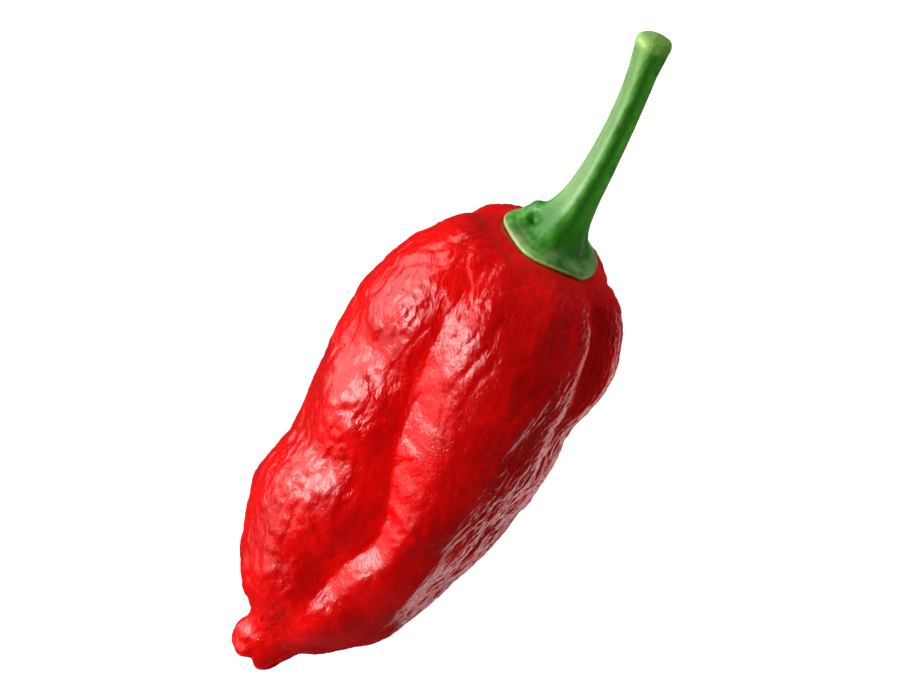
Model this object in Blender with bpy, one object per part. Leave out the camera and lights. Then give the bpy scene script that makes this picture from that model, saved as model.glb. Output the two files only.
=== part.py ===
"""Naga morich pepper, lying on its side: a wrinkled red pod, and the green stalk whose calyx caps it.

Run with: blender --background --python part.py
Lengths are written in millimetres and turned into metres where a mesh is made. Positions are measured from
the pod's tip: x runs along the pod's axis towards the stem, y to the pod's left seen from above, and z up.
The finished model stands on z = 0, with its origin in the middle of the small flat spot that carries it.
"""

import math

import bmesh
import bpy
import numpy as np
from mathutils import Vector, noise

MM = 0.001

# The pod's axis runs level at this height, and its tip lies this far behind the origin
AXIS_HEIGHT = 14.0
TIP_TO_ORIGIN = 41.0

# The pod's outline: distance from the tip, then how far it reaches left, right, up and down from the axis.
# The last rows turn over the shoulder and sink to the middle of the crown, which the calyx covers.
POD_OUTLINE = (
    (-0.5, 0.0, 0.0, 0.0, 0.0),
    (0.0, 3.3, 2.6, 2.5, 2.3),
    (2.6, 4.3, 4.0, 3.6, 3.3),
    (5.2, 4.0, 5.2, 4.6, 4.2),
    (7.6, 5.8, 7.2, 6.6, 6.0),
    (10.6, 8.7, 9.8, 8.6, 8.2),
    (15.0, 11.0, 12.6, 11.0, 11.2),
    (22.0, 13.3, 14.0, 13.0, 13.4),
    (29.0, 13.4, 15.0, 14.0, 14.0),
    (37.0, 14.9, 15.8, 14.8, 14.3),
    (45.0, 16.4, 16.0, 15.4, 14.4),
    (52.0, 17.0, 15.3, 15.6, 14.2),
    (58.0, 16.1, 14.9, 15.0, 13.4),
    (63.5, 14.7, 13.5, 13.2, 12.0),
    (67.8, 12.4, 10.8, 10.4, 9.6),
    (69.7, 8.4, 6.4, 7.4, 7.0),
    (69.4, 5.0, 3.0, 4.0, 4.0),
    (68.8, 1.0, -1.0, 0.0, 0.0),
)

# The crown leans up and to the left: how far it drops towards the tip for each mm upwards and to the left
CROWN_LEAN_UP, CROWN_LEAN_LEFT = 0.09, 0.08
LEAN_STARTS, LEAN_IS_FULL = 58.0, 69.0

# The furrows between the lobes. path gives the angle at distances from the tip: it turns about the axis from
# the pod's left over its top, in degrees. depth gives the depth there: below zero it is a fold that stands
# out. before and after are half of its width there, on the side that the angle comes from and on the other.
FURROWS = (
    {
        "path": (
            (0, 90), (8, 92), (15, 95), (22, 100), (27, 105), (31, 102), (34, 96),
            (38, 88), (42, 83), (46, 81), (50, 78), (55, 73), (60, 69), (66, 66),
        ),
        "depth": (
            (0, 0.3), (8, 0.6), (14, 0.9), (20, 1.8), (28, 2.5), (38, 2.4), (46, 2.2), (56, 1.4), (68, 0.5),
        ),
        "before": ((36, 5.4), (45, 3.2)),
        "after": ((30, 2.0), (42, 4.2), (50, 4.2), (60, 2.2)),
    },
    {
        "path": ((30, 160), (48, 158), (56, 156), (64, 154), (70, 150)),
        "depth": ((30, 0.0), (46, 0.3), (54, 0.8), (62, 2.0), (67, 2.0), (70, 1.2)),
        "before": ((0, 1.8), (70, 1.8)),
        "after": ((0, 2.2), (70, 2.2)),
    },
    {
        "path": ((0, 215), (30, 222), (50, 218), (70, 212)),
        "depth": ((0, 0.2), (14, 1.2), (30, 1.8), (52, 1.8), (64, 2.2), (70, 1.6)),
        "before": ((0, 4.2), (70, 4.2)),
        "after": ((0, 3.0), (70, 3.0)),
    },
    {
        "path": ((0, 330), (24, 322), (46, 327), (60, 335), (70, 345)),
        "depth": ((0, 0.2), (16, 1.6), (34, 2.2), (52, 1.8), (64, 1.7), (70, 1.3)),
        "before": ((0, 3.0), (70, 3.0)),
        "after": ((0, 4.6), (70, 4.6)),
    },
    {
        "path": ((16, 140), (22, 138), (28, 134), (36, 129), (50, 127), (62, 130), (70, 131)),
        "depth": ((12, 0.0), (24, -0.6), (56, -0.6), (67, 0.0)),
        "before": ((0, 4.6), (70, 4.6)),
        "after": ((0, 2.0), (70, 2.0)),
    },
)

# Single swellings and hollows of the lobes: distance from the tip, angle, reach along and across, height
SWELLINGS = (
    (58.0, 47.0, 6.5, 7.0, 1.3),
    (39.5, 53.0, 5.6, 6.4, 1.4),
    (26.5, 50.0, 5.2, 5.6, 1.3),
    (48.0, 56.0, 3.6, 6.0, -0.9),
    (33.4, 52.0, 3.2, 6.0, -0.9),
    (14.5, 70.0, 4.5, 4.5, 0.7),
    (20.5, 92.0, 4.0, 4.0, -0.8),
    (56.0, 113.0, 9.0, 4.5, 0.8),
    (38.0, 116.0, 8.0, 4.5, 0.9),
    (24.0, 128.0, 6.0, 4.0, 0.6),
    (12.5, 105.0, 3.2, 4.0, 0.8),
    (50.0, 186.0, 4.0, 6.0, -0.5),
    (60.0, 178.0, 5.0, 6.0, 0.8),
    (22.0, 8.0, 6.0, 6.0, 0.4),
    (30.0, 188.0, 7.0, 6.0, 0.5),
    (46.0, 300.0, 7.0, 6.0, 0.6),
    (28.0, 290.0, 6.0, 6.0, -0.6),
    (18.0, 250.0, 5.0, 5.0, 0.6),
)

# The lobes and wrinkles die away where the pod narrows: radius, and the share of them that is left there
CALM_AT_TIP = ((0.5, 0.1), (4.0, 1.0))
CALM_AT_CROWN = ((1.0, 0.1), (6.0, 0.3), (9.5, 1.0))
MIDDLE = 35.0

# The notch that parts the two small knobs of the tip: depth, half width, and how far up the pod it runs
TIP_NOTCH_DEPTH, TIP_NOTCH_HALF_WIDTH, TIP_NOTCH_RUN = 0.9, 0.8, 2.0

# Wrinkles: the size of one, its height, how much longer it is along the pod than round it, and the seed that
# sets how they fall
WRINKLE_SIZE, WRINKLE_HEIGHT, WRINKLE_STRETCH = 4.6, 0.35, 1.5
WRINKLE_SEED = 7

# The calyx rests this far off the pod's skin, and covers its crown out to this radius
CALYX_GAP = 0.35
CALYX_RADIUS = 6.45

# The stalk's outline from the calyx's rim to the cut end: radius, and height above the crown
STALK_OUTLINE = (
    (CALYX_RADIUS, 0.0),
    (6.5, 0.4),
    (6.1, 0.85),
    (5.2, 1.3),
    (4.3, 2.1),
    (3.4, 3.9),
    (2.65, 6.5),
    (2.15, 10.0),
    (1.85, 16.0),
    (1.75, 22.0),
    (1.85, 27.5),
    (2.2, 31.0),
    (2.3, 32.0),
    (1.9, 32.7),
    (0.9, 33.0),
    (0.0, 33.05),
)
# The middle of the stem, from the crown to the cut end
STEM_LINE = ((69.3, 1.0, 0.0), (79.5, 1.6, 0.2), (90.0, 3.3, 0.6), (100.2, 5.9, 1.2))
# Up to this height the calyx keeps the crown's shape, and beyond the second it follows the stem
CALYX_HUGS, STEM_TAKES_OVER = 0.8, 4.5
# Five ribs: the angle of the first, and their height as a share of the radius at heights above the crown
RIB_COUNT, FIRST_RIB = 5, 78.0
RIB_HEIGHT = ((0.0, 0.02), (1.2, 0.03), (4.0, 0.06), (12.0, 0.07), (28.0, 0.06), (32.0, 0.02))
# The knob beside the stem's foot, and the hollow in front of it: middle, reach, and how far it is pushed
KNOB = ((71.2, 5.0, -0.6), 1.9, (1.3, 0.7, 0.0))
HOLLOW = ((71.7, 4.5, 1.6), 0.85, (-0.8, -0.5, -0.8))

# How finely the skins are divided, round and along, and the share of the stalk's rings under the calyx
POD_AROUND, POD_ALONG = 72, 60
STALK_AROUND, STALK_ALONG = 40, 44
UNDERSIDE = 0.16

POD_COLOUR, POD_ROUGHNESS = (0.62, 0.012, 0.010, 1.0), 0.28
STALK_COLOUR, STALK_ROUGHNESS = (0.075, 0.22, 0.030, 1.0), 0.5


def smooth_curve(rows, share, before, after):
    """Points of the smooth curve through rows, at these shares (0 to 1) of its length.

    before and after are the rows that would come next past its ends, and set its direction there."""
    rows = np.array(rows, float)
    padded = np.vstack([before, rows, after])
    knots = np.r_[0.0, np.cumsum(np.linalg.norm(np.diff(padded, axis=0), axis=1))]
    slopes = (padded[2:] - padded[:-2]) / (knots[2:] - knots[:-2])[:, None]
    knots = knots[1:-1] - knots[1]
    at = np.clip(share, 0.0, 1.0) * knots[-1]
    k = np.clip(np.searchsorted(knots, at, "right") - 1, 0, len(knots) - 2)
    span = (knots[k + 1] - knots[k])[:, None]
    f = (at - knots[k])[:, None] / span
    held = rows[k] * (1 + 2 * f) * (1 - f) ** 2 + rows[k + 1] * f * f * (3 - 2 * f)
    return held + span * f * (1 - f) * (slopes[k] * (1 - f) - slopes[k + 1] * f)


def eased(x, pairs):
    """A value that changes smoothly with x through the (x, value) pairs, and stays level past their ends."""
    at, value = np.array(pairs, float).T
    k = np.clip(np.searchsorted(at, x, "right") - 1, 0, len(at) - 2)
    f = np.clip((x - at[k]) / (at[k + 1] - at[k]), 0.0, 1.0)
    return value[k] + (value[k + 1] - value[k]) * f * f * (3 - 2 * f)


def turned(angle, degrees):
    """The angle measured from a line at so many degrees, in radians between -pi and pi."""
    return (angle - np.radians(degrees) + math.pi) % (2 * math.pi) - math.pi


def across_axis(row):
    """The outline's row as it is met on the far side of the axis."""
    x, left, right, up, down = row
    return (x, -right, -left, -down, -up)


def plain_pod(share, angle):
    """Points of the pod without its lobes and wrinkles, and their mean distance from the axis."""
    ends = across_axis(POD_OUTLINE[1]), across_axis(POD_OUTLINE[-2])
    x, left, right, up, down = smooth_curve(POD_OUTLINE, share, *ends).T
    y = (left - right) / 2 + (left + right) / 2 * np.cos(angle)
    z = (up - down) / 2 + (up + down) / 2 * np.sin(angle)
    x = x - eased(x, ((LEAN_STARTS, 0.0), (LEAN_IS_FULL, 1.0))) * (CROWN_LEAN_UP * z + CROWN_LEAN_LEFT * y)
    return np.stack([x, y, z], axis=1), (left + right + up + down) / 4


def plain_pod_outward(share, angle):
    """Unit normals of the plain pod."""
    step = 1e-3
    share = np.clip(share, 2 * step, 1 - 2 * step)
    along = plain_pod(share + step, angle)[0] - plain_pod(share - step, angle)[0]
    around = plain_pod(share, angle + step)[0] - plain_pod(share, angle - step)[0]
    normal = np.cross(around, along)
    return normal / np.linalg.norm(normal, axis=1)[:, None]


def furrow_depth(furrow, x, angle, radius):
    aside = turned(angle, eased(x, furrow["path"])) * radius
    width = np.where(aside < 0, eased(x, furrow["before"]), eased(x, furrow["after"]))
    return eased(x, furrow["depth"]) * np.exp(-(np.abs(aside / width) ** 1.6))


def swelling_height(swelling, x, angle, radius):
    where, degrees, along, across, height = swelling
    aside = turned(angle, degrees) * radius
    return height * np.exp(-(((x - where) / along) ** 2) - (aside / across) ** 2)


def wrinkle_height(points):
    """Soft swells with shallow creases between them, from a slow noise that bends itself out of shape."""
    noise.seed_set(WRINKLE_SEED)
    heights = np.empty(len(points))
    for i, (x, y, z) in enumerate(points):
        p = Vector((x / WRINKLE_STRETCH, y, z)) / WRINKLE_SIZE
        p += 0.5 * noise.noise_vector(p * 0.9)
        crease = (1.0 - abs(noise.noise(p * 1.3))) ** 5
        heights[i] = noise.noise(p) - 0.4 * crease
    return WRINKLE_HEIGHT * heights


def pod_points(share, angle, grown=0.0):
    """Points of the pod's skin with its lobes and wrinkles, or of a skin that lies grown outside it."""
    points, radius = plain_pod(share, angle)
    x = points[:, 0]
    height = wrinkle_height(points)
    for furrow in FURROWS:
        height -= furrow_depth(furrow, x, angle, radius)
    for swelling in SWELLINGS:
        height += swelling_height(swelling, x, angle, radius)
    height *= np.where(x < MIDDLE, eased(radius, CALM_AT_TIP), eased(radius, CALM_AT_CROWN))
    points += plain_pod_outward(share, angle) * (height + grown)[:, None]
    in_notch = np.exp(-((points[:, 1] / TIP_NOTCH_HALF_WIDTH) ** 2) - (x / TIP_NOTCH_RUN) ** 2)
    points[:, 0] += TIP_NOTCH_DEPTH * in_notch
    return points


def seated(points):
    """The points where they lie in the finished model, with the lowest skin pressed flat on the surface."""
    placed = points + (-TIP_TO_ORIGIN, 0.0, AXIS_HEIGHT)
    placed[:, 2] = np.maximum(placed[:, 2], 0.0)
    return placed


def pod_skin(share, angle):
    return seated(pod_points(share, angle))


def crown_share(radius):
    """The share of the pod's outline at which its crown has this radius."""
    share = np.linspace(1.0, 0.8, 400)
    radii = plain_pod(share, np.zeros_like(share))[1]
    return np.interp(radius, radii, share)


def on_crown(radius, angle):
    """Points just off the pod's crown."""
    return pod_points(crown_share(radius), angle, CALYX_GAP)


def on_stem(height, radius, angle):
    """Points round the stem's bent middle line. The height is measured along it from the crown."""
    line = np.array(STEM_LINE)
    ends = 2 * line[0] - line[1], 2 * line[-1] - line[-2]
    share = height / STALK_OUTLINE[-1][1]
    step = 1e-3
    middle = smooth_curve(line, share, *ends)
    share = np.clip(share, step, 1 - step)
    ahead = smooth_curve(line, share + step, *ends) - smooth_curve(line, share - step, *ends)
    ahead /= np.linalg.norm(ahead, axis=1)[:, None]
    left = np.cross((0.0, 0.0, 1.0), ahead)
    left /= np.linalg.norm(left, axis=1)[:, None]
    up = np.cross(ahead, left)
    return middle + radius[:, None] * (left * np.cos(angle)[:, None] + up * np.sin(angle)[:, None])


def pushed(points, dent):
    """The points, moved where they lie within reach of the dent or knob."""
    middle, reach, push = dent
    near = np.exp(-np.sum((points - middle) ** 2, axis=1) / reach**2)
    return points + near[:, None] * np.array(push)


def stalk_skin(share, angle):
    """Points of the stalk: out under the calyx, over its rim, and up the stem to the cut end."""
    rows = np.array(STALK_OUTLINE)
    before, after = rows[0] - (0.0, 0.4), rows[-2] * (-1, 1)
    over = (share - UNDERSIDE) / (1 - UNDERSIDE)
    radius, height = smooth_curve(rows, over, before, after).T
    radius = np.where(share < UNDERSIDE, CALYX_RADIUS * share / UNDERSIDE, radius)
    height = np.where(share < UNDERSIDE, 0.0, height)
    ribbed = radius * (1 + eased(height, RIB_HEIGHT) * np.cos(RIB_COUNT * turned(angle, FIRST_RIB)))
    hugging = on_crown(ribbed, angle) + height[:, None] * (1.0, 0.0, 0.0)
    free = eased(height, ((CALYX_HUGS, 0.0), (STEM_TAKES_OVER, 1.0)))[:, None]
    points = hugging * (1 - free) + on_stem(height, ribbed, angle) * free
    return seated(pushed(pushed(points, KNOB), HOLLOW))


def sphere_shaped_by(skin, name, around, along):
    """A closed mesh: a sphere whose points the skin function moves, pole to pole and round the axis."""
    work = bmesh.new()
    bmesh.ops.create_uvsphere(work, u_segments=around, v_segments=along, radius=1.0)
    places = np.array([vert.co for vert in work.verts])
    share = np.arccos(np.clip(-places[:, 2], -1.0, 1.0)) / math.pi
    angle = np.arctan2(places[:, 1], places[:, 0])
    for vert, point in zip(work.verts, skin(share, angle)):
        vert.co = Vector(point) * MM
    bmesh.ops.triangulate(work, faces=work.faces)
    bmesh.ops.recalc_face_normals(work, faces=work.faces)
    mesh = bpy.data.meshes.new(name)
    work.to_mesh(mesh)
    work.free()
    mesh.shade_smooth()
    return mesh


def skin_material(name, colour, roughness):
    material = bpy.data.materials.new(name)
    material.use_nodes = True
    shader = material.node_tree.nodes["Principled BSDF"]
    shader.inputs["Base Color"].default_value = colour
    shader.inputs["Roughness"].default_value = roughness
    shader.inputs["Metallic"].default_value = 0.0
    return material


def add_piece(collection, mesh, material):
    piece = bpy.data.objects.new(mesh.name, mesh)
    mesh.materials.append(material)
    collection.objects.link(piece)
    return piece


def clear_scene():
    for old in list(bpy.data.objects):
        bpy.data.objects.remove(old, do_unlink=True)


def main():
    clear_scene()
    collection = bpy.data.collections.new("naga_morich_pepper")
    bpy.context.scene.collection.children.link(collection)

    pod = sphere_shaped_by(pod_skin, "pod", POD_AROUND, POD_ALONG)
    add_piece(collection, pod, skin_material("glossy_red_skin", POD_COLOUR, POD_ROUGHNESS))

    stalk = sphere_shaped_by(stalk_skin, "stalk", STALK_AROUND, STALK_ALONG)
    add_piece(collection, stalk, skin_material("green_stalk", STALK_COLOUR, STALK_ROUGHNESS))


main()
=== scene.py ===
# %% [markdown]
# # A naga morich pepper
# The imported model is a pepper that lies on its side: a red pod and a green stalk, as two plain
# solids. This script leaves both where they are and dresses them. Each is made again from the same
# rule that shaped its solid, with far more points, and then gets the fine wrinkles, the skin, the
# light and the camera. The first cell brings the solids in and keeps their box, because the dressed
# pepper has to fit it.

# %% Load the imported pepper
import math

import bmesh
import bpy
import numpy as np
from mathutils import Matrix, Vector, noise


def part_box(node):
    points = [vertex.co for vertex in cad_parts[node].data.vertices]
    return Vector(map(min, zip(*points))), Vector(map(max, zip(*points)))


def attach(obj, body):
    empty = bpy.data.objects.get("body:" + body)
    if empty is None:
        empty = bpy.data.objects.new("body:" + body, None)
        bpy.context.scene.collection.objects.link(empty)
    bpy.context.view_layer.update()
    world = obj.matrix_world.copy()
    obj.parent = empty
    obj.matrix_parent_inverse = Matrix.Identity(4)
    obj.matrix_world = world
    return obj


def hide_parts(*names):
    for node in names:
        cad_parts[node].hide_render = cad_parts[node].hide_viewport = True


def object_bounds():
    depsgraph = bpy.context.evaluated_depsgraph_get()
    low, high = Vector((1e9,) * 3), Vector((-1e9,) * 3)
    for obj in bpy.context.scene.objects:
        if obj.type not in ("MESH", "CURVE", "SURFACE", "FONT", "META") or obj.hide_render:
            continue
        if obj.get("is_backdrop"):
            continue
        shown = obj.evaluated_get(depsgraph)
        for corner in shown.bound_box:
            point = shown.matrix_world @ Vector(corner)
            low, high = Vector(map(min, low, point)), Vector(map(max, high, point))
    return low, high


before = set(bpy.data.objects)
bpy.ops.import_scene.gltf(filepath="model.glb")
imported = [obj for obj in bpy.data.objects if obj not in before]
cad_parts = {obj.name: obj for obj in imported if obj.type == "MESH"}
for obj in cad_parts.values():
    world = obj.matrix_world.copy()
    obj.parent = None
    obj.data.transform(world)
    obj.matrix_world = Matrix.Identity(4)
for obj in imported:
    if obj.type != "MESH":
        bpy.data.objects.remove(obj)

MM = 0.001
CAD_BOX = [list(corner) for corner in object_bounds()]
for node in sorted(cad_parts):
    low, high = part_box(node)
    size = (high - low) / MM
    print(f"{node}: {size.x:.1f} x {size.y:.1f} x {size.z:.1f} mm")

# %% [markdown]
# ## Curves through a few measured points
# A fruit has no straight lines, but it can still be measured at a few places. Its outline could be
# drawn as a Bezier curve and spun, yet a pod isn't round, so here one smooth curve runs through
# rows of numbers instead: each row says how far the skin reaches in four directions. Between the
# rows the curve bends gently, and a second helper eases single values in the same way.

# %% Smooth curves and easing


def smooth_curve(rows, share, before, after):
    """Points of the smooth curve through rows, at these shares (0 to 1) of its length.

    before and after are the rows that would come next past its ends, and set its direction there."""
    rows = np.array(rows, float)
    padded = np.vstack([before, rows, after])
    knots = np.r_[0.0, np.cumsum(np.linalg.norm(np.diff(padded, axis=0), axis=1))]
    slopes = (padded[2:] - padded[:-2]) / (knots[2:] - knots[:-2])[:, None]
    knots = knots[1:-1] - knots[1]
    at = np.clip(share, 0.0, 1.0) * knots[-1]
    k = np.clip(np.searchsorted(knots, at, "right") - 1, 0, len(knots) - 2)
    span = (knots[k + 1] - knots[k])[:, None]
    f = (at - knots[k])[:, None] / span
    held = rows[k] * (1 + 2 * f) * (1 - f) ** 2 + rows[k + 1] * f * f * (3 - 2 * f)
    return held + span * f * (1 - f) * (slopes[k] * (1 - f) - slopes[k + 1] * f)


def eased(x, pairs):
    """A value that changes smoothly with x through the (x, value) pairs, level past their ends."""
    at, value = np.array(pairs, float).T
    k = np.clip(np.searchsorted(at, x, "right") - 1, 0, len(at) - 2)
    f = np.clip((x - at[k]) / (at[k + 1] - at[k]), 0.0, 1.0)
    return value[k] + (value[k + 1] - value[k]) * f * f * (3 - 2 * f)


def turned(angle, degrees):
    """The angle measured from a line at so many degrees, in radians between -pi and pi."""
    return (angle - np.radians(degrees) + math.pi) % (2 * math.pi) - math.pi


print(f"a quarter of the way from 0 to 10 is eased to {eased(0.25, ((0.0, 0.0), (1.0, 10.0))):.2f}")

# %% [markdown]
# ## The pod's main form
# The pod is a soft, lopsided drum that narrows to a knobbed tip. It is measured in millimetres from
# the tip: x runs along it to the stem, y to its left and z up. A ball could be pulled into this
# shape by hand, but a table of its outline is easier to put right. The numbers are those of the
# solid, so the two shapes agree.

# %% Outline of the pod
# The pod's axis lies so high over the floor, and the tip so far from the origin, in mm
AXIS_HEIGHT, TIP_TO_ORIGIN = 14.0, 41.0

# Distance from the tip, then the reach from the axis to the left, to the right, up and down
POD_OUTLINE = (
    (-0.5, 0.0, 0.0, 0.0, 0.0),
    (0.0, 3.3, 2.6, 2.5, 2.3),
    (2.6, 4.3, 4.0, 3.6, 3.3),
    (5.2, 4.0, 5.2, 4.6, 4.2),
    (7.6, 5.8, 7.2, 6.6, 6.0),
    (10.6, 8.7, 9.8, 8.6, 8.2),
    (15.0, 11.0, 12.6, 11.0, 11.2),
    (22.0, 13.3, 14.0, 13.0, 13.4),
    (29.0, 13.4, 15.0, 14.0, 14.0),
    (37.0, 14.9, 15.8, 14.8, 14.3),
    (45.0, 16.4, 16.0, 15.4, 14.4),
    (52.0, 17.0, 15.3, 15.6, 14.2),
    (58.0, 16.1, 14.9, 15.0, 13.4),
    (63.5, 14.7, 13.5, 13.2, 12.0),
    (67.8, 12.4, 10.8, 10.4, 9.6),
    (69.7, 8.4, 6.4, 7.4, 7.0),
    (69.4, 5.0, 3.0, 4.0, 4.0),
    (68.8, 1.0, -1.0, 0.0, 0.0),
)

# The crown leans up and to the left: how far it drops towards the tip for each mm upwards and to the left
CROWN_LEAN_UP, CROWN_LEAN_LEFT = 0.09, 0.08
LEAN_STARTS, LEAN_IS_FULL = 58.0, 69.0

print(f"{len(POD_OUTLINE)} rows of outline, up to {max(row[0] for row in POD_OUTLINE)} mm from the tip")

# %% [markdown]
# ## The furrows
# Deep furrows part the pod's lobes. They could be sculpted, but a furrow is easy to describe: a
# path over the skin, a depth along that path, and a width on either side. The last of the five is
# the other way round, a low fold that stands out beside the right flank.

# %% Furrows of the pod
# path gives a furrow's angle at distances from the tip, turning from the left over the top, in degrees.
# depth is its depth there in mm: below zero it is a fold that stands out. before and after are half of its
# width there, on the one side and on the other.
FURROWS = (
    {
        "path": (
            (0, 90), (8, 92), (15, 95), (22, 100), (27, 105), (31, 102), (34, 96),
            (38, 88), (42, 83), (46, 81), (50, 78), (55, 73), (60, 69), (66, 66),
        ),
        "depth": (
            (0, 0.3), (8, 0.6), (14, 0.9), (20, 1.8), (28, 2.5), (38, 2.4), (46, 2.2), (56, 1.4), (68, 0.5),
        ),
        "before": ((36, 5.4), (45, 3.2)),
        "after": ((30, 2.0), (42, 4.2), (50, 4.2), (60, 2.2)),
    },
    {
        "path": ((30, 160), (48, 158), (56, 156), (64, 154), (70, 150)),
        "depth": ((30, 0.0), (46, 0.3), (54, 0.8), (62, 2.0), (67, 2.0), (70, 1.2)),
        "before": ((0, 1.8), (70, 1.8)),
        "after": ((0, 2.2), (70, 2.2)),
    },
    {
        "path": ((0, 215), (30, 222), (50, 218), (70, 212)),
        "depth": ((0, 0.2), (14, 1.2), (30, 1.8), (52, 1.8), (64, 2.2), (70, 1.6)),
        "before": ((0, 4.2), (70, 4.2)),
        "after": ((0, 3.0), (70, 3.0)),
    },
    {
        "path": ((0, 330), (24, 322), (46, 327), (60, 335), (70, 345)),
        "depth": ((0, 0.2), (16, 1.6), (34, 2.2), (52, 1.8), (64, 1.7), (70, 1.3)),
        "before": ((0, 3.0), (70, 3.0)),
        "after": ((0, 4.6), (70, 4.6)),
    },
    {
        "path": ((16, 140), (22, 138), (28, 134), (36, 129), (50, 127), (62, 130), (70, 131)),
        "depth": ((12, 0.0), (24, -0.6), (56, -0.6), (67, 0.0)),
        "before": ((0, 4.6), (70, 4.6)),
        "after": ((0, 2.0), (70, 2.0)),
    },
)
# How full the furrows' walls are: 2 makes a bell curve, and less makes a narrower bottom
FURROW_FULLNESS = 1.6
print(f"{len(FURROWS) - 1} furrows and a fold")

# %% [markdown]
# ## Swellings and slow wrinkles
# Each lobe bulges in some places and is pinched in others. Every swelling or hollow is one row:
# where it is, how far it reaches and how high it stands. A slow noise adds soft wrinkles all over.
# Sculpting would give the same forms, but a row can be put right without touching the others.

# %% Swellings and slow wrinkles of the pod
# Single swellings and hollows of the lobes: distance from the tip, angle, reach along and across, height
SWELLINGS = (
    (58.0, 47.0, 6.5, 7.0, 1.3),
    (39.5, 53.0, 5.6, 6.4, 1.4),
    (26.5, 50.0, 5.2, 5.6, 1.3),
    (48.0, 56.0, 3.6, 6.0, -0.9),
    (33.4, 52.0, 3.2, 6.0, -0.9),
    (14.5, 70.0, 4.5, 4.5, 0.7),
    (20.5, 92.0, 4.0, 4.0, -0.8),
    (56.0, 113.0, 9.0, 4.5, 0.8),
    (38.0, 116.0, 8.0, 4.5, 0.9),
    (24.0, 128.0, 6.0, 4.0, 0.6),
    (12.5, 105.0, 3.2, 4.0, 0.8),
    (50.0, 186.0, 4.0, 6.0, -0.5),
    (60.0, 178.0, 5.0, 6.0, 0.8),
    (22.0, 8.0, 6.0, 6.0, 0.4),
    (30.0, 188.0, 7.0, 6.0, 0.5),
    (46.0, 300.0, 7.0, 6.0, 0.6),
    (28.0, 290.0, 6.0, 6.0, -0.6),
    (18.0, 250.0, 5.0, 5.0, 0.6),
)

# The lobes and wrinkles die away where the pod narrows: radius, and the share of them that is left there
CALM_AT_TIP = ((0.5, 0.1), (4.0, 1.0))
CALM_AT_CROWN = ((1.0, 0.1), (6.0, 0.3), (9.5, 1.0))
# The tip's numbers hold up to here, in mm from the tip, and the crown's beyond it
MIDDLE = 35.0

# The notch that parts the knob at the tip, in mm
TIP_NOTCH_DEPTH, TIP_NOTCH_HALF_WIDTH, TIP_NOTCH_RUN = 0.9, 0.8, 2.0

# The slow wrinkles: size and height in mm, and how much longer than wide they are. A second noise bends them
# so far, at that scale, and creases run between them.
WRINKLE_SIZE, WRINKLE_HEIGHT, WRINKLE_STRETCH = 4.6, 0.35, 1.5
WRINKLE_BEND, WRINKLE_BEND_SCALE = 0.5, 0.9
CREASE_SCALE, CREASE_SHARPNESS, CREASE_SHARE = 1.3, 5, 0.4
WRINKLE_SEED = 7
print(f"{len(SWELLINGS)} swellings and hollows")

# %% [markdown]
# ## From numbers to points
# A rule now turns any place on the pod into a point. The place is told by its share of the way
# along the outline and its angle round the axis. The plain outline comes first, and then every
# furrow, swelling and wrinkle moves the point along the plain pod's normal. A Displace modifier
# could do that too, but the rule also knows how deep each furrow is, and the wrinkles and colours
# ask for that later.

# %% Points of the pod's skin


def across_axis(row):
    """The outline's row as it is met on the far side of the axis."""
    x, left, right, up, down = row
    return (x, -right, -left, -down, -up)


def plain_pod(share, angle):
    """Points of the pod without its lobes and wrinkles, and their mean distance from the axis."""
    ends = across_axis(POD_OUTLINE[1]), across_axis(POD_OUTLINE[-2])
    x, left, right, up, down = smooth_curve(POD_OUTLINE, share, *ends).T
    y = (left - right) / 2 + (left + right) / 2 * np.cos(angle)
    z = (up - down) / 2 + (up + down) / 2 * np.sin(angle)
    x = x - eased(x, ((LEAN_STARTS, 0.0), (LEAN_IS_FULL, 1.0))) * (CROWN_LEAN_UP * z + CROWN_LEAN_LEFT * y)
    return np.stack([x, y, z], axis=1), (left + right + up + down) / 4


def plain_pod_outward(share, angle):
    """Unit normals of the plain pod."""
    step = 1e-3
    share = np.clip(share, 2 * step, 1 - 2 * step)
    along = plain_pod(share + step, angle)[0] - plain_pod(share - step, angle)[0]
    around = plain_pod(share, angle + step)[0] - plain_pod(share, angle - step)[0]
    normal = np.cross(around, along)
    return normal / np.linalg.norm(normal, axis=1)[:, None]


def furrow_depth(furrow, x, angle, radius):
    """How deep the furrow is at these points."""
    aside = turned(angle, eased(x, furrow["path"])) * radius
    width = np.where(aside < 0, eased(x, furrow["before"]), eased(x, furrow["after"]))
    return eased(x, furrow["depth"]) * np.exp(-(np.abs(aside / width) ** FURROW_FULLNESS))


def swelling_height(swelling, x, angle, radius):
    """How far the swelling lifts these points, or a hollow lowers them."""
    where, degrees, along, across, height = swelling
    aside = turned(angle, degrees) * radius
    return height * np.exp(-(((x - where) / along) ** 2) - (aside / across) ** 2)


def wrinkle_height(points):
    """Soft swells with shallow creases between them, from a slow noise that bends itself out of shape."""
    noise.seed_set(WRINKLE_SEED)
    heights = np.empty(len(points))
    for i, (x, y, z) in enumerate(points):
        p = Vector((x / WRINKLE_STRETCH, y, z)) / WRINKLE_SIZE
        p += WRINKLE_BEND * noise.noise_vector(p * WRINKLE_BEND_SCALE)
        crease = (1.0 - abs(noise.noise(p * CREASE_SCALE))) ** CREASE_SHARPNESS
        heights[i] = noise.noise(p) - CREASE_SHARE * crease
    return WRINKLE_HEIGHT * heights


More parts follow.
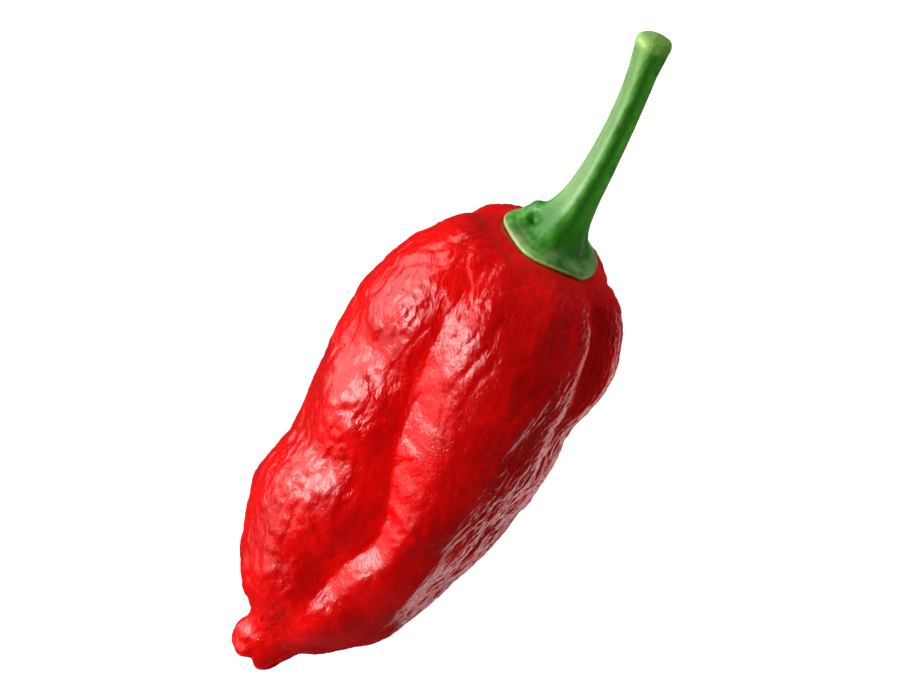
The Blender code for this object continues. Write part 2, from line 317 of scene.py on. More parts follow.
def pod_points(share, angle, grown=0.0):
    """Points of the pod's skin with its lobes and wrinkles, or of a skin that lies grown outside it."""
    points, radius = plain_pod(share, angle)
    x = points[:, 0]
    height = wrinkle_height(points)
    for furrow in FURROWS:
        height -= furrow_depth(furrow, x, angle, radius)
    for swelling in SWELLINGS:
        height += swelling_height(swelling, x, angle, radius)
    height *= np.where(x < MIDDLE, eased(radius, CALM_AT_TIP), eased(radius, CALM_AT_CROWN))
    points += plain_pod_outward(share, angle) * (height + grown)[:, None]
    in_notch = np.exp(-((points[:, 1] / TIP_NOTCH_HALF_WIDTH) ** 2) - (x / TIP_NOTCH_RUN) ** 2)
    points[:, 0] += TIP_NOTCH_DEPTH * in_notch
    return points


print(f"mean radius half way along: {plain_pod(np.array([0.5]), np.zeros(1))[1][0]:.1f} mm")

# %% [markdown]
# ## A closed skin from rings
# Both pieces are closed skins without a seam: one point at either end, and rings of points between
# them. A UV sphere could be bent into them, but rings that are written out at once are much quicker
# to make. Each point is placed by a rule that takes its share of the way from end to end, and its
# angle. The rule also says what it knows about the point, such as how rough the skin is there. That
# is kept on the mesh as attributes, which the wrinkles and the materials read later.

# %% Make a skin


def ring_faces(around, rings):
    """Faces between rings of points, with a fan round the single point at either end."""
    last = around * rings + 1
    step = np.arange(around)
    beside = (step + 1) % around
    corner = 1 + around * np.arange(rings - 1)[:, None]
    corners = corner + step, corner + beside, corner + beside + around, corner + step + around
    quads = np.stack(corners, axis=-1)
    start = np.stack([np.zeros(around, int), beside + 1, step + 1], axis=-1)
    end = np.stack([np.full(around, last), step + last - around, beside + last - around], axis=-1)
    return start.tolist() + quads.reshape(-1, 4).tolist() + end.tolist()


def ring_skin(skin, name, around, rings):
    """An object whose closed mesh the skin function shapes. skin returns points and named values."""
    share = np.r_[0.0, np.repeat(np.arange(1, rings + 1) / (rings + 1), around), 1.0]
    angle = np.r_[0.0, np.tile(2 * math.pi * np.arange(around) / around, rings), 0.0]
    points, marks = skin(share, angle)
    mesh = bpy.data.meshes.new(name)
    mesh.from_pydata((points * MM).tolist(), [], ring_faces(around, rings))
    for mark, values in marks.items():
        layer = mesh.attributes.new(mark, "FLOAT", "POINT")
        layer.data.foreach_set("value", values.astype(np.float32))
    mesh.validate()
    mesh.shade_smooth()
    work = bmesh.new()
    work.from_mesh(mesh)
    volume = work.calc_volume(signed=True) / MM**3
    work.free()
    piece = bpy.data.objects.new(name, mesh)
    bpy.context.scene.collection.objects.link(piece)
    print(f"{name}: {len(mesh.vertices)} points, {len(mesh.polygons)} faces, {volume:.0f} cubic mm")
    return piece


def placed(points):
    """The points where they lie in the finished model, in mm."""
    return points + (-TIP_TO_ORIGIN, 0.0, AXIS_HEIGHT)


print(f"3 rings of 4 points make {len(ring_faces(4, 3))} faces")

# %% [markdown]
# ## Rough and smooth places
# The skin of this pepper isn't equally rough all over. It is smooth beside the calyx and smoother
# in the furrows, calmer on the broad face beside the first furrow, and drawn into long wrinkles on
# the right flank. Weight painting could mark these places. Here the rule that makes the points
# works the marks out as well.

# %% Make the pod's skin
POD_AROUND, POD_RINGS = 380, 256
# Fine wrinkles are left out under the calyx: mean radius of the crown in mm, and the share of them there
CROWN_IS_SMOOTH = ((5.5, 0.0), (8.0, 0.6), (10.5, 1.0))
# In the furrows some of them are left out: depth in mm, and the share that is missing
FURROW_IS_SMOOTH = ((0.4, 0.0), (1.6, 0.7))
# The right flank has long wrinkles instead of short ones: degrees past the fold that borders it, and share
FLANK_FOLD = FURROWS[-1]["path"]
FLANK = ((-4.0, 0.0), (3.0, 1.0), (40.0, 1.0), (64.0, 0.0))
# The broad face between the first furrow and that fold is calmer: degrees past the furrow, and the share
# that is missing
CALM_FACE = ((2.0, 0.0), (16.0, 0.5), (34.0, 0.5), (52.0, 0.0))
# Depth in mm at which the furrow mark reaches 1
FULL_FURROW = 3.0


def pod_skin(share, angle):
    """Points of the dressed pod, and the marks that its wrinkles and colours ask for."""
    points, radius = plain_pod(share, angle)
    x = points[:, 0]
    depth = sum(furrow_depth(furrow, x, angle, radius) for furrow in FURROWS[:-1])
    past_furrow = np.degrees(turned(angle, eased(x, FURROWS[0]["path"])))
    past_fold = np.degrees(turned(angle, eased(x, FLANK_FOLD)))
    rough = np.where(x < MIDDLE, 1.0, eased(radius, CROWN_IS_SMOOTH))
    rough = rough * (1.0 - eased(depth, FURROW_IS_SMOOTH)) * (1.0 - eased(past_furrow, CALM_FACE))
    marks = {"rough": rough, "flank": eased(past_fold, FLANK), "furrow": depth / FULL_FURROW}
    return placed(pod_points(share, angle)), marks


pod = ring_skin(pod_skin, "pod_skin", POD_AROUND, POD_RINGS)

# %% [markdown]
# ## The stalk's form
# The calyx is a green cap that grew over the pod's crown, and it narrows like a bell into the stem.
# Both are one piece of plant, so they are one skin here too: it starts under the calyx, turns over
# the rim, climbs the bell and the five-ribbed stem, and closes over the cut end. Near the rim it
# follows the crown below it, and higher up it follows the bent middle line of the stem. A knob and
# a small hollow sit beside the stem's foot.

# %% Outline and ribs of the stalk
# The calyx lies so far off the crown, and reaches so far out, in mm
CALYX_GAP, CALYX_RADIUS = 0.06, 6.45

# Radius, and height above the crown
STALK_OUTLINE = (
    (CALYX_RADIUS, 0.0),
    (6.5, 0.4),
    (6.1, 0.85),
    (5.2, 1.3),
    (4.3, 2.1),
    (3.4, 3.9),
    (2.65, 6.5),
    (2.15, 10.0),
    (1.85, 16.0),
    (1.75, 22.0),
    (1.85, 27.5),
    (2.2, 31.0),
    (2.3, 32.0),
    (1.9, 32.7),
    (0.9, 33.0),
    (0.0, 33.05),
)
# The stem's middle line: distance from the tip, then from the axis to the left and up
STEM_LINE = ((69.3, 1.0, 0.0), (79.5, 1.6, 0.2), (90.0, 3.3, 0.6), (100.2, 5.9, 1.2))
# Up to this height the calyx keeps the crown's shape, and beyond the second it follows the stem
CALYX_HUGS, STEM_TAKES_OVER = 0.8, 4.5
# Five ribs: the angle of the first, and their height as a share of the radius at heights above the crown
RIB_COUNT, FIRST_RIB = 5, 78.0
RIB_HEIGHT = ((0.0, 0.02), (1.2, 0.03), (4.0, 0.06), (12.0, 0.07), (28.0, 0.06), (32.0, 0.02))
# The angle of the stem's side that faces the key light, and is painted paler as painted light
LIT_SIDE_ANGLE = 2.0
# The knob beside the stem's foot, and the hollow in front of it: middle, reach, and how far it is pushed
KNOB = ((71.2, 5.0, -0.6), 1.9, (1.3, 0.7, 0.0))
HOLLOW = ((71.7, 4.5, 1.6), 0.85, (-0.8, -0.5, -0.8))
# The curve rises straight from the rim, as if it came from a row that lies so far below it
RIM_RISE = 0.4
# The crown is sought in the last part of the pod's outline, from this share on, at so many places
CROWN_FROM, CROWN_PLACES = 0.8, 400
# The share of the stalk's rings that lies under the calyx
UNDERSIDE = 0.1
print(f"{len(STALK_OUTLINE)} rows of outline, {STALK_OUTLINE[-1][1]} mm up to the cut end")

# %% [markdown]
# ## Points of the stalk
# Each point of the stalk is worked out twice: once as if it lay on the crown, and once as if it
# stood round the stem's middle line. The two are blended by height. Two meshes could be joined
# instead, but a real stalk has no seam there.

# %% Points of the stalk's skin


def crown_share(radius):
    """The share of the pod's outline at which its crown has this radius."""
    share = np.linspace(1.0, CROWN_FROM, CROWN_PLACES)
    radii = plain_pod(share, np.zeros_like(share))[1]
    return np.interp(radius, radii, share)


def on_crown(radius, angle):
    """Points just off the pod's crown."""
    return pod_points(crown_share(radius), angle, CALYX_GAP)


def on_stem(height, radius, angle):
    """Points round the stem's bent middle line. The height is measured along it from the crown."""
    line = np.array(STEM_LINE)
    ends = 2 * line[0] - line[1], 2 * line[-1] - line[-2]
    share = height / STALK_OUTLINE[-1][1]
    step = 1e-3
    middle = smooth_curve(line, share, *ends)
    share = np.clip(share, step, 1 - step)
    ahead = smooth_curve(line, share + step, *ends) - smooth_curve(line, share - step, *ends)
    ahead /= np.linalg.norm(ahead, axis=1)[:, None]
    left = np.cross((0.0, 0.0, 1.0), ahead)
    left /= np.linalg.norm(left, axis=1)[:, None]
    up = np.cross(ahead, left)
    return middle + radius[:, None] * (left * np.cos(angle)[:, None] + up * np.sin(angle)[:, None])


def pushed(points, dent):
    """The points, moved where they lie within reach of the dent or knob."""
    middle, reach, push = dent
    near = np.exp(-np.sum((points - middle) ** 2, axis=1) / reach**2)
    return points + near[:, None] * np.array(push)


def stalk_skin(share, angle):
    """Out under the calyx, over its rim, and up the stem to the cut end."""
    rows = np.array(STALK_OUTLINE)
    before, after = rows[0] - (0.0, RIM_RISE), rows[-2] * (-1, 1)
    over = (share - UNDERSIDE) / (1 - UNDERSIDE)
    radius, height = smooth_curve(rows, over, before, after).T
    radius = np.where(share < UNDERSIDE, CALYX_RADIUS * share / UNDERSIDE, radius)
    height = np.where(share < UNDERSIDE, 0.0, height)
    rib = np.cos(RIB_COUNT * turned(angle, FIRST_RIB))
    ribbed = radius * (1 + eased(height, RIB_HEIGHT) * rib)
    hugging = on_crown(ribbed, angle) + height[:, None] * (1.0, 0.0, 0.0)
    free = eased(height, ((CALYX_HUGS, 0.0), (STEM_TAKES_OVER, 1.0)))[:, None]
    points = hugging * (1 - free) + on_stem(height, ribbed, angle) * free
    # The last mark says how far each point faces the key light, for the painted light in the stalk's colour
    marks = {"height": height, "rib": rib, "lit_side": np.cos(turned(angle, LIT_SIDE_ANGLE))}
    return placed(pushed(pushed(points, KNOB), HOLLOW)), marks


STALK_AROUND, STALK_RINGS = 160, 290
stalk = ring_skin(stalk_skin, "stalk_skin", STALK_AROUND, STALK_RINGS)

# %% [markdown]
# ## Node trees as sums
# Blender's node trees are drawn by hand as a rule, but here they are written. The small class below
# wraps one socket. Adding, multiplying or comparing wires puts the right maths node into the tree,
# so that a line reads like the formula that it stands for. Every other node comes from one method,
# node, which takes the node's type, its settings and what goes into its sockets. The same class
# serves Geometry Nodes and materials.

# %% Wires and trees


def is_one_number(value):
    """Whether it stands for one number, and not for a vector or a colour."""
    if isinstance(value, Wire):
        return value.socket.type not in ("VECTOR", "RGBA")
    return isinstance(value, (int, float))


class Wire:
    """The output of a node. Sums and products of wires add maths nodes to their tree."""

    def __init__(self, tree, socket):
        self.tree = tree
        self.socket = socket

    def maths(self, operation, *values):
        """One maths node: for plain numbers, for a vector times a number, or for vectors."""
        if all(is_one_number(value) for value in values):
            return self.tree.node("ShaderNodeMath", {"operation": operation}, dict(enumerate(values)))
        if operation == "MULTIPLY" and any(is_one_number(value) for value in values):
            vector, number = sorted(values, key=is_one_number)
            operation, inputs = "SCALE", {0: vector, "Scale": number}
        else:
            inputs = dict(enumerate((v, v, v) if isinstance(v, (int, float)) else v for v in values))
        return self.tree.node("ShaderNodeVectorMath", {"operation": operation}, inputs)

    def __add__(self, other):
        return self.maths("ADD", self, other)

    def __radd__(self, other):
        return self.maths("ADD", other, self)

    def __sub__(self, other):
        return self.maths("SUBTRACT", self, other)

    def __rsub__(self, other):
        return self.maths("SUBTRACT", other, self)

    def __mul__(self, other):
        return self.maths("MULTIPLY", self, other)

    def __rmul__(self, other):
        return self.maths("MULTIPLY", other, self)

    def __truediv__(self, other):
        return self.maths("DIVIDE", self, other)

    def __rtruediv__(self, other):
        return self.maths("DIVIDE", other, self)

    def __pow__(self, other):
        return self.maths("POWER", self, other)

    def __rpow__(self, other):
        return self.maths("POWER", other, self)

    def __abs__(self):
        return self.maths("ABSOLUTE", self)

    def at_least(self, other):
        return self.maths("MAXIMUM", self, other)

    def at_most(self, other):
        return self.maths("MINIMUM", self, other)

    def smoothly(self, low, high, start=0.0, end=1.0):
        """start below low, end above high, and a smooth step between them."""
        sizes = {"Value": self, "From Min": low, "From Max": high, "To Min": start, "To Max": end}
        return self.tree.node("ShaderNodeMapRange", {"interpolation_type": "SMOOTHSTEP"}, sizes)


class Tree:
    """A node tree, with one method that adds any node to it."""

    def __init__(self, tree):
        self.tree = tree

    def feed(self, node, values):
        """Gives the sockets of a node their values or wires."""
        for name, value in values.items():
            if isinstance(value, Wire):
                self.tree.links.new(value.socket, node.inputs[name])
            else:
                node.inputs[name].default_value = value

    def node(self, kind, settings=None, values=None, out=0):
        """Adds a node: first its settings, then the values or wires of its sockets. Returns one output."""
        made = self.tree.nodes.new(kind)
        for name, value in (settings or {}).items():
            setattr(made, name, value)
        self.feed(made, values or {})
        return Wire(self, made.outputs[out]) if made.outputs else made

    def mix(self, factor, first, second):
        """Two colours mixed by a factor."""
        return self.node("ShaderNodeMix", {"data_type": "RGBA"}, {0: factor, 6: first, 7: second}, out=2)

    def noise(self, vector, scale, detail=2.0, roughness=0.5, distortion=0.0, out=0):
        """Cloudy noise round 0.5, or with out=1 the same as a colour."""
        values = {"Vector": vector, "Scale": scale, "Detail": detail}
        values.update({"Roughness": roughness, "Distortion": distortion})
        return self.node("ShaderNodeTexNoise", {}, values, out)


# %% [markdown]
# ## Fine wrinkles by Geometry Nodes
# Between the lobes the skin of this pepper is crumpled all over: short lumps a millimetre or two
# long, with creases between them, and long thin wrinkles down the right flank. A bump map could
# fake them, but the outline and the mesh would stay smooth, so these wrinkles move the
# points. They follow a rule over the whole surface, which is what Geometry Nodes are good at. Each
# size is an input with a name, and what the tree makes is kept as a plain mesh.

# %% Start, finish and run a tree


def new_tree(name, sizes):
    """A Geometry Nodes tree with a geometry in and out, and one number input for each size."""
    group = bpy.data.node_groups.new(name, "GeometryNodeTree")
    group.interface.new_socket("Geometry", in_out="INPUT", socket_type="NodeSocketGeometry")
    for size in sizes:
        group.interface.new_socket(size, in_out="INPUT", socket_type="NodeSocketFloat")
    group.interface.new_socket("Geometry", in_out="OUTPUT", socket_type="NodeSocketGeometry")
    tree = Tree(group)
    inputs = tree.node("NodeGroupInput").socket.node.outputs
    return tree, {socket.name: Wire(tree, socket) for socket in inputs if socket.name}


def point_mark(tree, name):
    """A mark that the skin rule left on the points."""
    return tree.node("GeometryNodeInputNamedAttribute", {"data_type": "FLOAT"}, {"Name": name})


def finish_tree(tree, geometry, places, material):
    """Every tree ends the same way: points moved, instances made real, and the material set."""
    moved = tree.node("GeometryNodeSetPosition", {}, {"Geometry": geometry, "Position": places})
    real = tree.node("GeometryNodeRealizeInstances", {}, {"Geometry": moved})
    dressed = tree.node("GeometryNodeSetMaterial", {}, {"Geometry": real, "Material": material})
    tree.node("NodeGroupOutput", {}, {"Geometry": dressed})
    return tree.tree


def apply_tree(piece, tree, sizes):
    """Runs the tree on the piece, and keeps what it made as the piece's plain mesh."""
    modifier = piece.modifiers.new("relief", "NODES")
    modifier.node_group = tree
    for item in tree.interface.items_tree:
        if item.in_out == "INPUT" and item.name in sizes:
            modifier[item.identifier] = sizes[item.name]
    graph = bpy.context.evaluated_depsgraph_get()
    made = piece.evaluated_get(graph)
    mesh = bpy.data.meshes.new_from_object(made, preserve_all_data_layers=True, depsgraph=graph)
    plain, piece.data = piece.data, mesh
    piece.modifiers.clear()
    bpy.data.meshes.remove(plain)
    mesh.name = piece.name
    mesh.shade_smooth()
    print(f"{piece.name}: {len(mesh.vertices)} points after its relief")


# %% [markdown]
# ## Stretch, crumple and press
# Three helpers serve the trees. The first draws a pattern out along one direction. The second makes
# crumpled skin: noise alone looks like clouds, so it takes cells with soft edges, whose places a
# noise has bent. The third presses the underside flat, because a pepper that lies on a floor bends
# a little instead of sinking into it. A collision with the floor could be simulated, but a formula
# does it at once.

# %% Helpers for the wrinkles
# How soft the edges of the cells are, how far they are bent, and the scale of the noise that bends them
CELL_SOFTNESS, CELL_BEND, CELL_BEND_SCALE = 0.35, 1.1, 0.8


def drawn_out(tree, place, direction, stretch):
    """The places squeezed along one direction, so that a pattern made from them is drawn out along it."""
    along = tree.node("ShaderNodeVectorMath", {"operation": "DOT_PRODUCT"}, {0: place, 1: direction}, out=1)
    return place - along * (1.0 - 1.0 / stretch) * direction


def crumple(tree, place, size, seed):
    """Facets with soft edges, about 0 to 1 high: rounded cells in places that a noise has bent."""
    scaled = place / size + seed
    bent = scaled + CELL_BEND * (tree.noise(scaled, CELL_BEND_SCALE, out=1) - 0.5)
    values = {"Vector": bent, "Scale": 1.0, "Smoothness": CELL_SOFTNESS}
    return tree.node("ShaderNodeTexVoronoi", {"feature": "SMOOTH_F1"}, values)


def pressed_flat(tree, place, soft):
    """The places, where what hangs below the floor is pressed onto it, with a soft bend above it."""
    parts = tree.node("ShaderNodeSeparateXYZ", {}, {0: place}).socket.node.outputs
    x, y, z = (Wire(tree, part) for part in parts)
    lifted = ((z + soft).at_least(0.0) ** 2.0) / (4.0 * soft)
    is_low = tree.node("FunctionNodeCompare", {"operation": "LESS_THAN"}, {0: z, 1: soft})
    choice = {"Switch": is_low, "False": z, "True": lifted}
    pressed_z = tree.node("GeometryNodeSwitch", {"input_type": "FLOAT"}, choice)
    return tree.node("ShaderNodeCombineXYZ", {}, {0: x, 1: y, 2: pressed_z})


# %% [markdown]
# ## The pod's wrinkles
# The tree works out one height for each point of the pod from lumps, pebbles, slanting folds and
# creases, or from long wrinkles on the flank, and moves the point along its normal. Its seed shifts
# all of its noise, so another pepper is one number away. One noise would be simpler, but real
# wrinkles differ from place to place.

# %% Sizes of the pod's wrinkles
# The stretches and the seed are plain numbers, and the rest is in metres
POD_RELIEF = {
    "Lump Size": 0.0028,
    "Lump Height": 0.00036,
    "Pebble Size": 0.0013,
    "Pebble Height": 0.00024,
    "Fold Size": 0.0008,
    "Fold Height": 0.00020,
    "Fold Stretch": 2.2,
    "Crease Size": 0.0024,
    "Crease Depth": 0.00020,
    "Long Size": 0.0009,
    "Long Height": 0.00024,
    "Long Stretch": 4.5,
    "Press Softness": 0.00025,
    "Seed": 3.0,
}
# The folds beside the first furrow run aslant over the lobes, and the long wrinkles run along the pod
FOLD_DIRECTION, POD_DIRECTION = (0.75, 0.5, -0.42), (1.0, 0.0, 0.0)
# The pebbles and the folds get so many times the seed, and so don't follow the lumps
PEBBLE_SEED, FOLD_SEED = 3.0, 2.0
# A slow noise of this scale parts pebbled skin from patches of folds, with a soft edge between these values
PATCH_SCALE, PATCH_EDGE = 0.4, (0.38, 0.58)
# The share of the pebbles that is missing in a patch of folds, and of the folds that is left outside it
PEBBLES_LOST, FOLDS_LEFT = 0.6, 0.25
# A crease runs where its noise crosses the middle, and is so wide on either side
CREASE_WIDTH = 0.05
# The share of the short wrinkles that is missing on the flank
SHORT_LOST_ON_FLANK = 0.7
print(f"{len(POD_RELIEF)} inputs for the pod's wrinkles")

# %% Tree for the pod's wrinkles


def wrinkle_tree(material):
    """Short wrinkles everywhere but on the flank, long ones there, and the underside pressed flat."""
    tree, sizes = new_tree("pod_wrinkles", POD_RELIEF)
    place = tree.node("GeometryNodeInputPosition")
    normal = tree.node("GeometryNodeInputNormal")
    rough, flank, seed = point_mark(tree, "rough"), point_mark(tree, "flank"), sizes["Seed"]
    lump = 0.5 - crumple(tree, place, sizes["Lump Size"], seed)
    pebble = 0.5 - crumple(tree, place, sizes["Pebble Size"], seed * PEBBLE_SEED)
    aslant = drawn_out(tree, place, FOLD_DIRECTION, sizes["Fold Stretch"])
    fold = 0.5 - crumple(tree, aslant, sizes["Fold Size"], seed * FOLD_SEED)
    patch_noise = tree.noise(place / sizes["Lump Size"] + seed, PATCH_SCALE, detail=1.0)
    patch = patch_noise.smoothly(*PATCH_EDGE)
    crease_noise = tree.noise(place / sizes["Crease Size"] + seed, 1.0, detail=3.0, distortion=0.8)
    crease = abs(crease_noise - 0.5).smoothly(0.0, CREASE_WIDTH, 1.0, 0.0)
    short = sizes["Lump Height"] * lump + sizes["Pebble Height"] * pebble * (1.0 - PEBBLES_LOST * patch)
    short = short + sizes["Fold Height"] * fold * (FOLDS_LEFT + (1.0 - FOLDS_LEFT) * patch)
    short = short - sizes["Crease Depth"] * crease * (1.0 - patch)
    along = drawn_out(tree, place, POD_DIRECTION, sizes["Long Stretch"])
    strand = tree.noise(along / sizes["Long Size"] + seed, 1.0, detail=2.0, distortion=1.2)
    long = sizes["Long Height"] * (1.0 - 2.0 * abs(2.0 * strand - 1.0))
    height = (short * (1.0 - SHORT_LOST_ON_FLANK * flank) + long * flank) * rough
    pressed = pressed_flat(tree, place + normal * height, sizes["Press Softness"])
    return finish_tree(tree, sizes["Geometry"], pressed, material)


# %% [markdown]
# ## The stalk's fine relief
# The stem of a pepper is nearly smooth, with faint lengthwise fibres and a pebbled grain, and its
# calyx is puckered where it meets the fruit. This could be left to a bump map, since it is so low,
# but the puckers show in the outline. One more tree adds both, with the same kind of inputs.

# %% Tree for the stalk's fibres
# The seed is a plain number, and the rest is in metres
STALK_RELIEF = {
    "Fibre Size": 0.0006,
    "Fibre Height": 0.00010,
    "Pucker Size": 0.0013,
    "Pucker Height": 0.00030,
    "Seed": 5.0,
}
# The fibres are read in places that are squeezed along the pod's axis, which draws them out along the stem
FIBRE_SQUEEZE = (0.12, 1.0, 1.0)
# Between these heights above the crown, in mm, the fibres and the puckers set in
FIBRES_FROM, PUCKERS_FROM = (2.0, 6.0), (0.0, 0.5)
# The share of the puckers that is missing on the stem
PUCKERS_LOST = 0.8


def fibre_tree(material):
    """Lengthwise fibres on the stem, and puckers on the calyx."""
    tree, sizes = new_tree("stalk_fibres", STALK_RELIEF)
    place = tree.node("GeometryNodeInputPosition")
    normal = tree.node("GeometryNodeInputNormal")
    height, seed = point_mark(tree, "height"), sizes["Seed"]
    on_stem, off_rim = height.smoothly(*FIBRES_FROM), height.smoothly(*PUCKERS_FROM)
    fibre = tree.noise(place * FIBRE_SQUEEZE / sizes["Fibre Size"] + seed, 1.0, detail=2.0) - 0.5
    pucker = tree.noise(place / sizes["Pucker Size"] + seed, 1.0, detail=3.0, distortion=0.4) - 0.5
    fibres = sizes["Fibre Height"] * fibre * on_stem
    puckers = sizes["Pucker Height"] * pucker * (1.0 - PUCKERS_LOST * on_stem)
    moved = place + normal * ((fibres + puckers) * off_rim)
    return finish_tree(tree, sizes["Geometry"], moved, material)


print(f"{len(STALK_RELIEF)} inputs for the stalk's relief")

# %% [markdown]
# ## The pod's finish
# A ripe pepper's skin is a clear, waxy layer over deep red flesh. Light that enters the flesh comes
# out again a little way off, which makes thin edges glow, so the shader has some subsurface
# scattering under a gloss that isn't quite even. The red itself is a rule too: lighter in soft
# blotches, and painted lighter still in the furrows as painted light, for the light that gathers
# there. A photograph wrapped round the pod would be quicker, but it would hold its own light.

# %% Material of the pod
POD_RED = (0.37, 0.0006, 0.0004, 1.0)
# The lighter red of the furrows is painted light: it stands in for light that gathers in them
POD_FURROW_LIT_RED = (0.58, 0.0008, 0.0006, 1.0)
POD_LIGHT_RED = (0.52, 0.0015, 0.0012, 1.0)
# The scale of each pattern: how often it repeats in a metre
RED_BLOTCHES, GLOSS_SPOTS, POD_STREAKS, POD_STRANDS, POD_GRAIN = 160.0, 420.0, 1500.0, 1700.0, 2600.0
# Where the noise turns from the one red to the other
RED_EDGE = (0.35, 0.7)
# The furrow mark times this is the share of the lighter red painted into the furrows as painted light, up to
# the whole of it
FURROW_LIGHT_GAIN = 1.6
# How far the streaks on the lobes and the strands on the flank are drawn out, and their share in the relief
STREAK_STRETCH, STRAND_STRETCH = 2.5, 7.0
GRAIN_SHARE, STRAND_SHARE = 0.5, 1.5
BUMP_HEIGHT = 0.00012
# The roughness where the gloss is best, and how much more there is in its spots
POD_ROUGHNESS, POD_ROUGHNESS_SPREAD = 0.10, 0.07


def new_material(name):
    """A material, its tree and its shader."""
    material = bpy.data.materials.new(name)
    material.use_nodes = True
    return material, Tree(material.node_tree), material.node_tree.nodes["Principled BSDF"]


def surface_mark(tree, name):
    """A mark that the skin rule left on the points, as a material reads it."""
    return tree.node("ShaderNodeAttribute", {"attribute_name": name}, out=2)


def pod_material():
    """Glossy red skin, with fine streaks on the lobes and strands on the flank."""
    material, tree, shader = new_material("glossy_red_skin")
    place = tree.node("ShaderNodeTexCoord", {}, out=3)
    furrow, flank = surface_mark(tree, "furrow"), surface_mark(tree, "flank")
    blotch = tree.noise(place, RED_BLOTCHES, detail=3.0)
    colour = tree.mix(blotch.smoothly(*RED_EDGE), POD_RED, POD_LIGHT_RED)
    # Painted light: the furrows are painted a lighter red
    colour = tree.mix((FURROW_LIGHT_GAIN * furrow).at_most(1.0), colour, POD_FURROW_LIT_RED)
    aslant = drawn_out(tree, place, FOLD_DIRECTION, STREAK_STRETCH)
    streak = tree.noise(aslant, POD_STREAKS, detail=3.0, roughness=0.6, distortion=0.6)
    along = drawn_out(tree, place, POD_DIRECTION, STRAND_STRETCH)
    strand = tree.noise(along, POD_STRANDS, detail=3.0, distortion=0.4)
    grain = tree.noise(place, POD_GRAIN, detail=3.0, roughness=0.6, distortion=0.4)
    relief = (streak + GRAIN_SHARE * grain) * (1.0 - SHORT_LOST_ON_FLANK * flank)
    relief = relief + STRAND_SHARE * strand * flank
    bump = {"Strength": 1.0, "Distance": BUMP_HEIGHT, "Height": relief}
    tree.feed(shader, {
        "Base Color": colour,
        "Roughness": POD_ROUGHNESS + POD_ROUGHNESS_SPREAD * tree.noise(place, GLOSS_SPOTS, detail=2.0),
        "Normal": tree.node("ShaderNodeBump", {}, bump),
        "IOR": 1.45,
        "Subsurface Weight": 0.25,
        "Subsurface Radius": (1.0, 0.12, 0.06),
        "Subsurface Scale": 0.0012,
    })
    return material


# %% [markdown]
# ## The stalk's finish
# The stalk is satin green. Its side towards the key light is painted paler and more flecked, as
# painted light, and the bell over the calyx is painted dark, as painted shade. Its rim is mottled and
# has a thin yellowish line, and the cut end has dried to a lighter green, painted paler on its lit
# side. Vertex paint could hold all of that, but here it follows from the height, rib and lit-side
# marks that the skin rule left on the mesh, with a fine grain of pale flecks on top.

# %% Material of the stalk
STALK_GREEN = (0.07, 0.35, 0.015, 1.0)
STALK_DARK = (0.014, 0.12, 0.004, 1.0)
STALK_PALE = (0.16, 0.25, 0.095, 1.0)
RIM_PALE = (0.40, 0.36, 0.12, 1.0)
END_GREEN = (0.10, 0.28, 0.025, 1.0)
END_PALE = (0.26, 0.40, 0.12, 1.0)
# The scale of the blotches and the flecks: how often they repeat in a metre. The flecks are a little longer
# along the pod's axis.
STALK_BLOTCHES, STALK_FLECKS, FLECK_SQUEEZE = 500.0, 4200.0, (0.6, 1.0, 1.0)
# Where each band sets in and where it ends, in mm above the crown
RIM_LINE_FROM, RIM_LINE_TO, MOTTLES_TO = (0.1, 0.25), (0.4, 0.6), (0.6, 2.4)
BELL_FROM, BELL_TO, STEM_FROM, CUT_FROM = (1.2, 2.2), (4.0, 7.0), (3.0, 9.0), (30.8, 32.2)
# Where a noise or mark turns from nothing to the full colour
RIB_EDGE, LIT_SIDE_EDGE, MOTTLE_EDGE = (0.2, 0.7), (-0.1, 0.3), (0.35, 0.6)
FLECK_EDGE, CUT_FLECK_EDGE = (0.45, 0.7), (0.5, 0.7)
# How far the blotches move the edge of the painted lit side
LIT_SIDE_EDGE_SHIFT = 0.3
# The share of pale green painted on the lit side as painted light, and how much more of it there is in a
# fleck
LIT_SIDE_PALE, LIT_SIDE_PALE_IN_FLECKS = 0.35, 0.4
# The share of the flecks that shows everywhere, and how much more of it is painted on the lit side as
# painted light
FLECKS, FLECKS_ON_LIT_SIDE = 0.15, 0.35
# The share of dark green painted over the bell as painted shade, and the share of pale mottles on the rim
BELL_SHADE_SHARE, MOTTLE_SHARE = 0.7, 0.8
# The share of the rim's line, and how much more of it there is in a blotch
RIM_LINE, RIM_LINE_IN_BLOTCHES = 0.25, 0.6
# How pale the cut end is painted on its lit side, as painted light, and how pale in its flecks
CUT_ON_LIT_SIDE, CUT_IN_FLECKS = 0.6, 0.8
STALK_ROUGHNESS, STALK_ROUGHNESS_SPREAD = 0.30, 0.12


